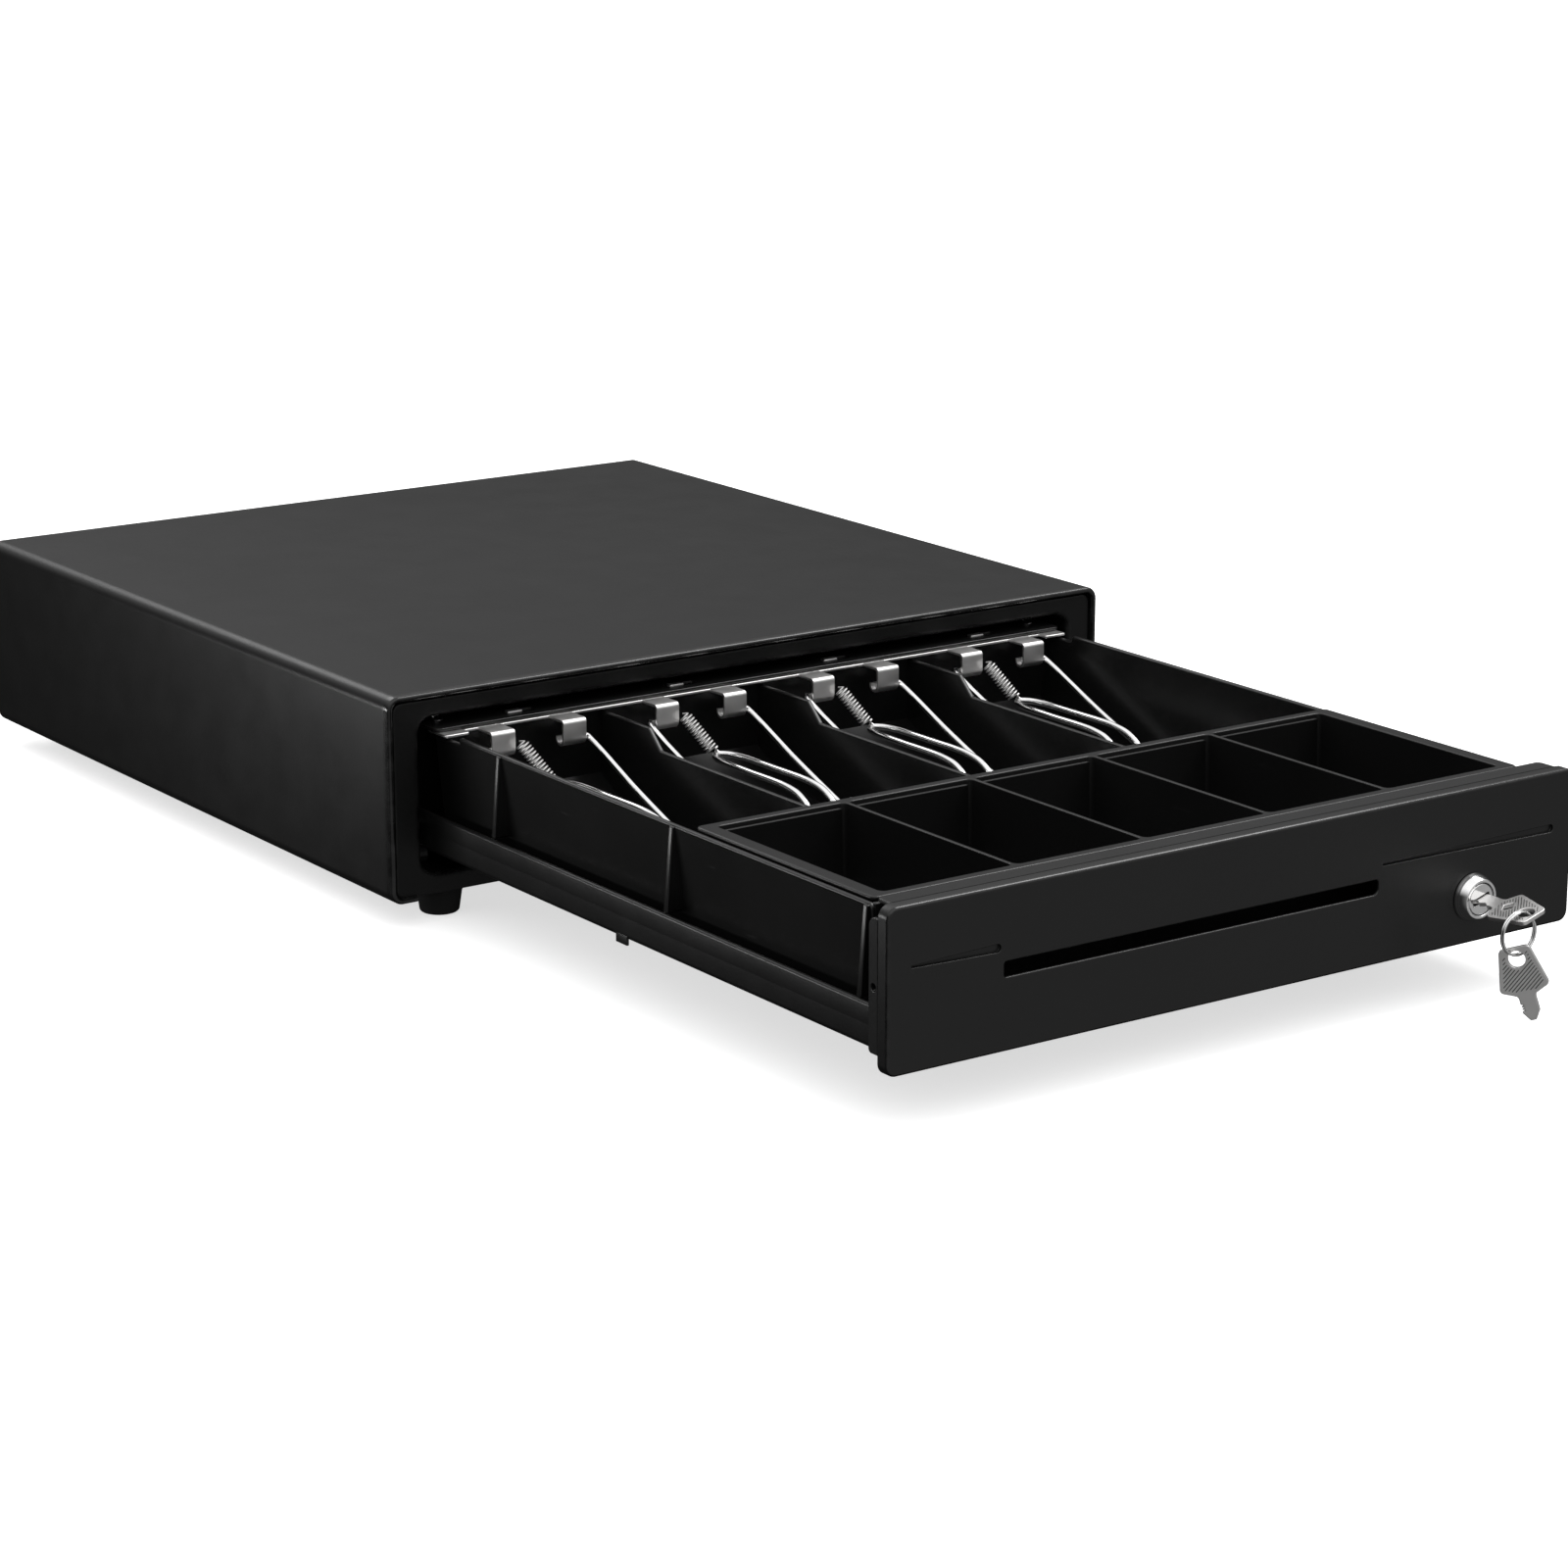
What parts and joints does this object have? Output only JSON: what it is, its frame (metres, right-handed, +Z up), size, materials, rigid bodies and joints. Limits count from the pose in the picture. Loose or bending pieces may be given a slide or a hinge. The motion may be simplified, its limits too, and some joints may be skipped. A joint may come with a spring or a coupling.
{
  "type": "cash drawer",
  "caption": "Steel cash drawer standing open, with a plastic till, sprung wire bill clips, lift-out coin tray, media slot, key lock and hanging spare key.",
  "frame": {"origin": "middle of the footprint with the drawer open, on the table", "axes": "+X to the right seen from the front, +Y to the back of the cabinet, +Z up"},
  "size_m": [0.33, 0.6576, 0.088],
  "materials": {
    "cabinet_paint": "satin black powder coat",
    "textured_paint": "fine textured black powder coat",
    "drawer_paint": "satin black powder coat",
    "till_plastic": "moulded black, semi-matt",
    "dark_plastic": "moulded black",
    "roller_plastic": "black acetal",
    "foot_rubber": "matt black rubber",
    "chrome": "bright chrome plate",
    "nickel": "satin nickel plate",
    "zinc": "bright zinc plate"
  },
  "bodies": {
    "root": {"cabinet_shell": "cabinet_paint", "front_bezel": "textured_paint", "base_plate": "textured_paint", "rear_panel": "textured_paint", "release_socket": "dark_plastic", "foot_front_left": "foot_rubber", "foot_front_right": "foot_rubber", "foot_rear_left": "foot_rubber", "foot_rear_right": "foot_rubber", "slide_rail_left": "zinc", "slide_rail_right": "zinc", "cabinet_roller_axle_left": "zinc", "cabinet_roller_axle_right": "zinc", "latch_bracket": "zinc", "latch_pin": "zinc", "solenoid_body": "dark_plastic", "eject_spring": "zinc"},
    "drawer": {"drawer_pan": "drawer_paint", "drawer_front": "drawer_paint", "rear_deck": "drawer_paint", "deck_screw_left": "chrome", "deck_screw_right": "chrome", "strike_bracket": "zinc", "till_tray": "till_plastic", "bill_divider_1": "till_plastic", "bill_divider_2": "till_plastic", "bill_divider_3": "till_plastic", "clip_bar": "nickel", "clip_spring_1": "nickel", "clip_spring_2": "nickel", "clip_spring_3": "nickel", "clip_spring_4": "nickel", "lock_housing": "chrome", "lock_nut": "zinc", "drawer_roller_axle_left": "zinc", "drawer_roller_axle_right": "zinc"},
    "cabinet_roller_left": {"cabinet_roller_left": "roller_plastic"},
    "cabinet_roller_right": {"cabinet_roller_right": "roller_plastic"},
    "drawer_roller_left": {"drawer_roller_left": "roller_plastic"},
    "drawer_roller_right": {"drawer_roller_right": "roller_plastic"},
    "coin_tray": {"coin_tray": "till_plastic"},
    "bill_clip_1": {"bill_clip_1": "chrome"},
    "bill_clip_2": {"bill_clip_2": "chrome"},
    "bill_clip_3": {"bill_clip_3": "chrome"},
    "bill_clip_4": {"bill_clip_4": "chrome"},
    "lock": {"lock_plug": "chrome", "lock_cam": "zinc", "lock_key": "nickel"},
    "split_ring": {"split_ring": "chrome"},
    "spare_key": {"spare_key": "nickel"},
    "latch": {"latch_lever": "zinc"},
    "plunger": {"solenoid_plunger": "zinc"}
  },
  "joints": [
    {"name": "drawer_slide", "type": "slide", "parent": "root", "child": "drawer", "axis": [0, -1, 0], "range_m": [-0.285, 0], "deforming": ["eject_spring"]},
    {"name": "cabinet_roller_left_spin", "type": "hinge", "parent": "root", "child": "cabinet_roller_left", "pos_m": [-0.1424, 0.01479, 0.0207], "axis": [1, 0, 0], "continuous": true},
    {"name": "cabinet_roller_right_spin", "type": "hinge", "parent": "root", "child": "cabinet_roller_right", "pos_m": [0.1424, 0.01479, 0.0207], "axis": [1, 0, 0], "continuous": true},
    {"name": "drawer_roller_left_spin", "type": "hinge", "parent": "drawer", "child": "drawer_roller_left", "pos_m": [-0.1552, 0.01279, 0.0345], "axis": [1, 0, 0], "continuous": true},
    {"name": "drawer_roller_right_spin", "type": "hinge", "parent": "drawer", "child": "drawer_roller_right", "pos_m": [0.1552, 0.01279, 0.0345], "axis": [1, 0, 0], "continuous": true},
    {"name": "coin_tray_lift", "type": "slide", "parent": "drawer", "child": "coin_tray", "axis": [0, 0, 1], "range_m": [0, 0.045]},
    {"name": "bill_clip_1_lift", "type": "hinge", "parent": "drawer", "child": "bill_clip_1", "pos_m": [-0.108, -0.01811, 0.0652], "axis": [-1, 0, 0], "range_deg": [0, 65], "stiffness_Nm_per_rad": 0.1, "springref_deg": -28.65, "deforming": ["clip_spring_1"]},
    {"name": "bill_clip_2_lift", "type": "hinge", "parent": "drawer", "child": "bill_clip_2", "pos_m": [-0.036, -0.01811, 0.0652], "axis": [-1, 0, 0], "range_deg": [0, 65], "stiffness_Nm_per_rad": 0.1, "springref_deg": -28.65, "deforming": ["clip_spring_2"]},
    {"name": "bill_clip_3_lift", "type": "hinge", "parent": "drawer", "child": "bill_clip_3", "pos_m": [0.036, -0.01811, 0.0652], "axis": [-1, 0, 0], "range_deg": [0, 65], "stiffness_Nm_per_rad": 0.1, "springref_deg": -28.65, "deforming": ["clip_spring_3"]},
    {"name": "bill_clip_4_lift", "type": "hinge", "parent": "drawer", "child": "bill_clip_4", "pos_m": [0.108, -0.01811, 0.0652], "axis": [-1, 0, 0], "range_deg": [0, 65], "stiffness_Nm_per_rad": 0.1, "springref_deg": -28.65, "deforming": ["clip_spring_4"]},
    {"name": "lock_turn", "type": "hinge", "parent": "drawer", "child": "lock", "pos_m": [0.102, -0.29321, 0.0375], "axis": [0, -1, 0], "range_deg": [0, 90]},
    {"name": "ring_swing", "type": "hinge", "parent": "drawer", "child": "split_ring", "pos_m": [0.102, -0.31971, 0.0375], "axis": [0, -1, 0], "range_deg": [-5, 6]},
    {"name": "spare_key_swing", "type": "hinge", "parent": "split_ring", "child": "spare_key", "pos_m": [0.0986, -0.31971, 0.0237], "axis": [0.788, 0.6157, 0], "range_deg": [-12, 12]},
    {"name": "latch_lift", "type": "hinge", "parent": "root", "child": "latch", "pos_m": [0, 0.31829, 0.055], "axis": [-1, 0, 0], "range_deg": [-20, 0]},
    {"name": "plunger_slide", "type": "slide", "parent": "root", "child": "plunger", "axis": [0, 0, 1], "range_m": [-0.003, 0]}
  ],
  "couplings": [
    {"joint": "cabinet_roller_left_spin", "follows": "drawer_slide", "rad_per_m": 166.67},
    {"joint": "cabinet_roller_right_spin", "follows": "drawer_slide", "rad_per_m": 166.67},
    {"joint": "drawer_roller_left_spin", "follows": "drawer_slide", "rad_per_m": 166.67},
    {"joint": "drawer_roller_right_spin", "follows": "drawer_slide", "rad_per_m": 166.67},
    {"joint": "plunger_slide", "follows": "latch_lift", "m_per_rad": 0.008}
  ]
}
